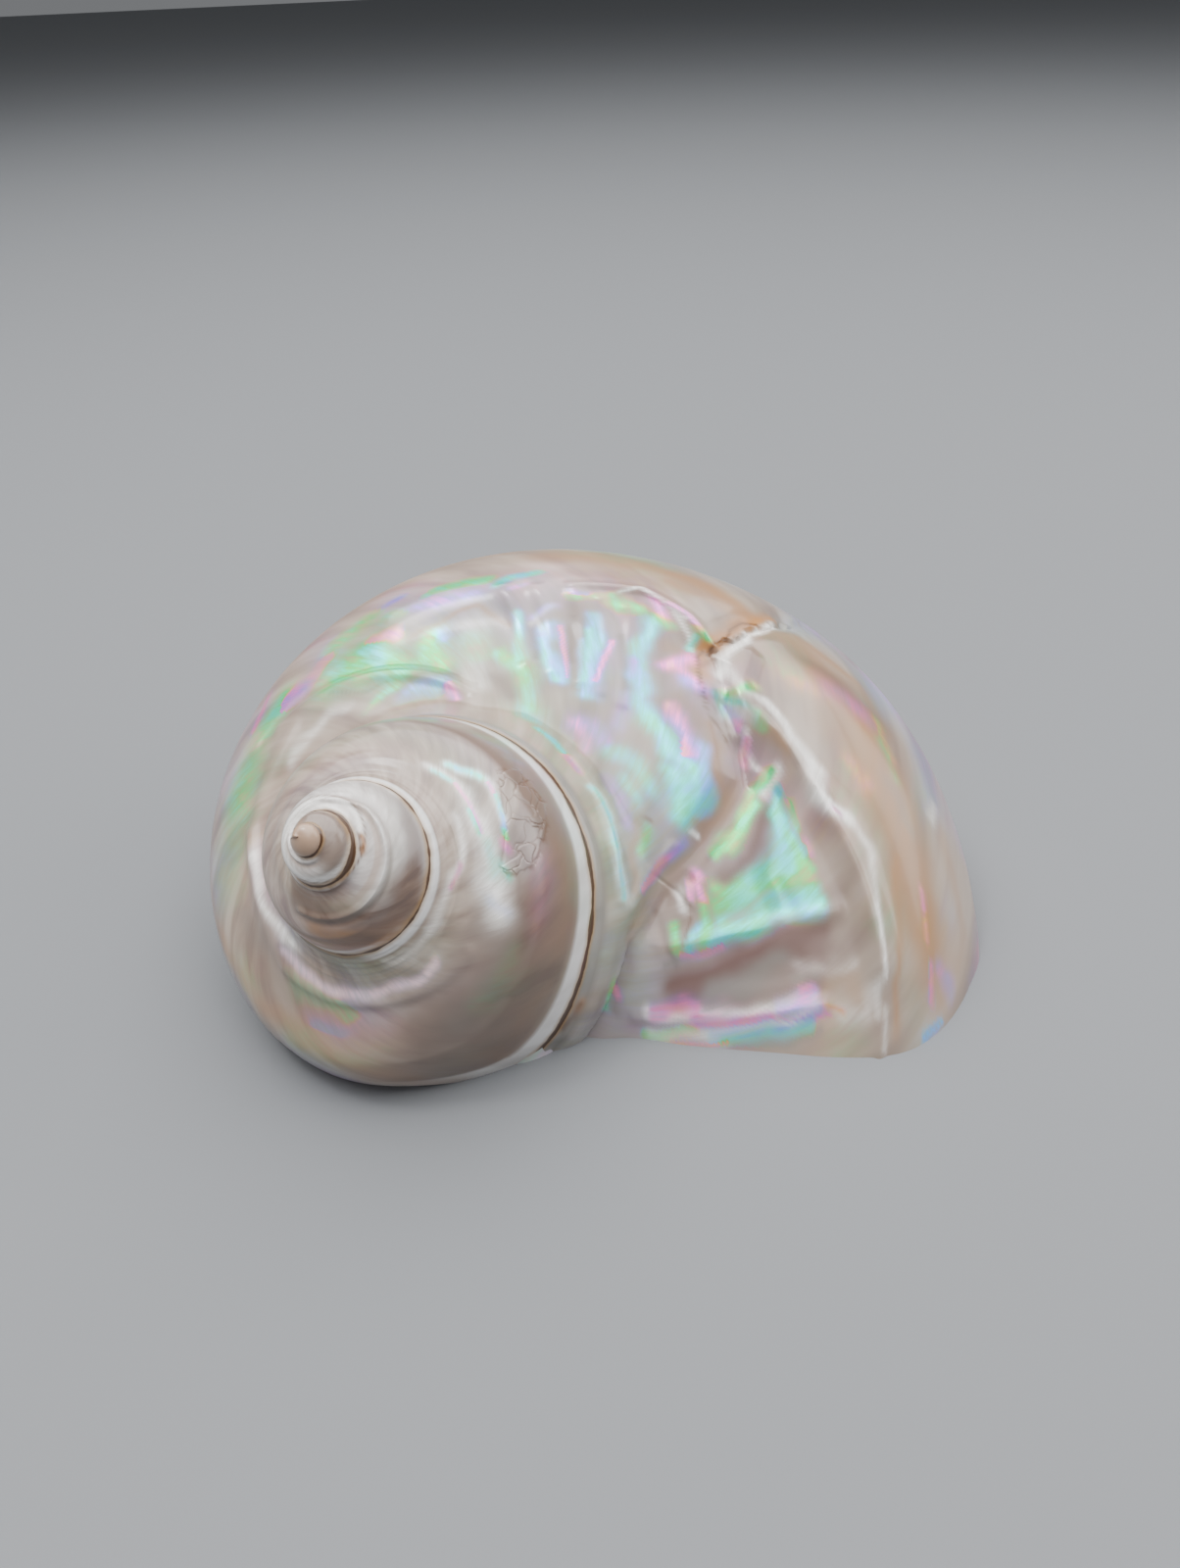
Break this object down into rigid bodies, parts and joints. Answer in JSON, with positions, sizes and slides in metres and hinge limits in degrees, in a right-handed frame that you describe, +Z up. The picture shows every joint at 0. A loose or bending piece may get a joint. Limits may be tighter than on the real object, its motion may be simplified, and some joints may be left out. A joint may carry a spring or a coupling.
{
  "type": "turban shell",
  "caption": "Polished mother-of-pearl turban shell with a coiled spire, a healed break across its last whorl and an open mouth, lying on its mouth.",
  "frame": {"origin": "centre of the shell's box, on the surface that it lies on", "axes": "+X towards the outer lip, along the longest extent; +Y away from the tip; +Z up, away from the ground mouth"},
  "size_m": [0.1264, 0.0875, 0.0549],
  "materials": {
    "mother_of_pearl": "polished mother-of-pearl"
  },
  "bodies": {
    "root": {"shell": "mother_of_pearl"}
  },
  "joints": []
}
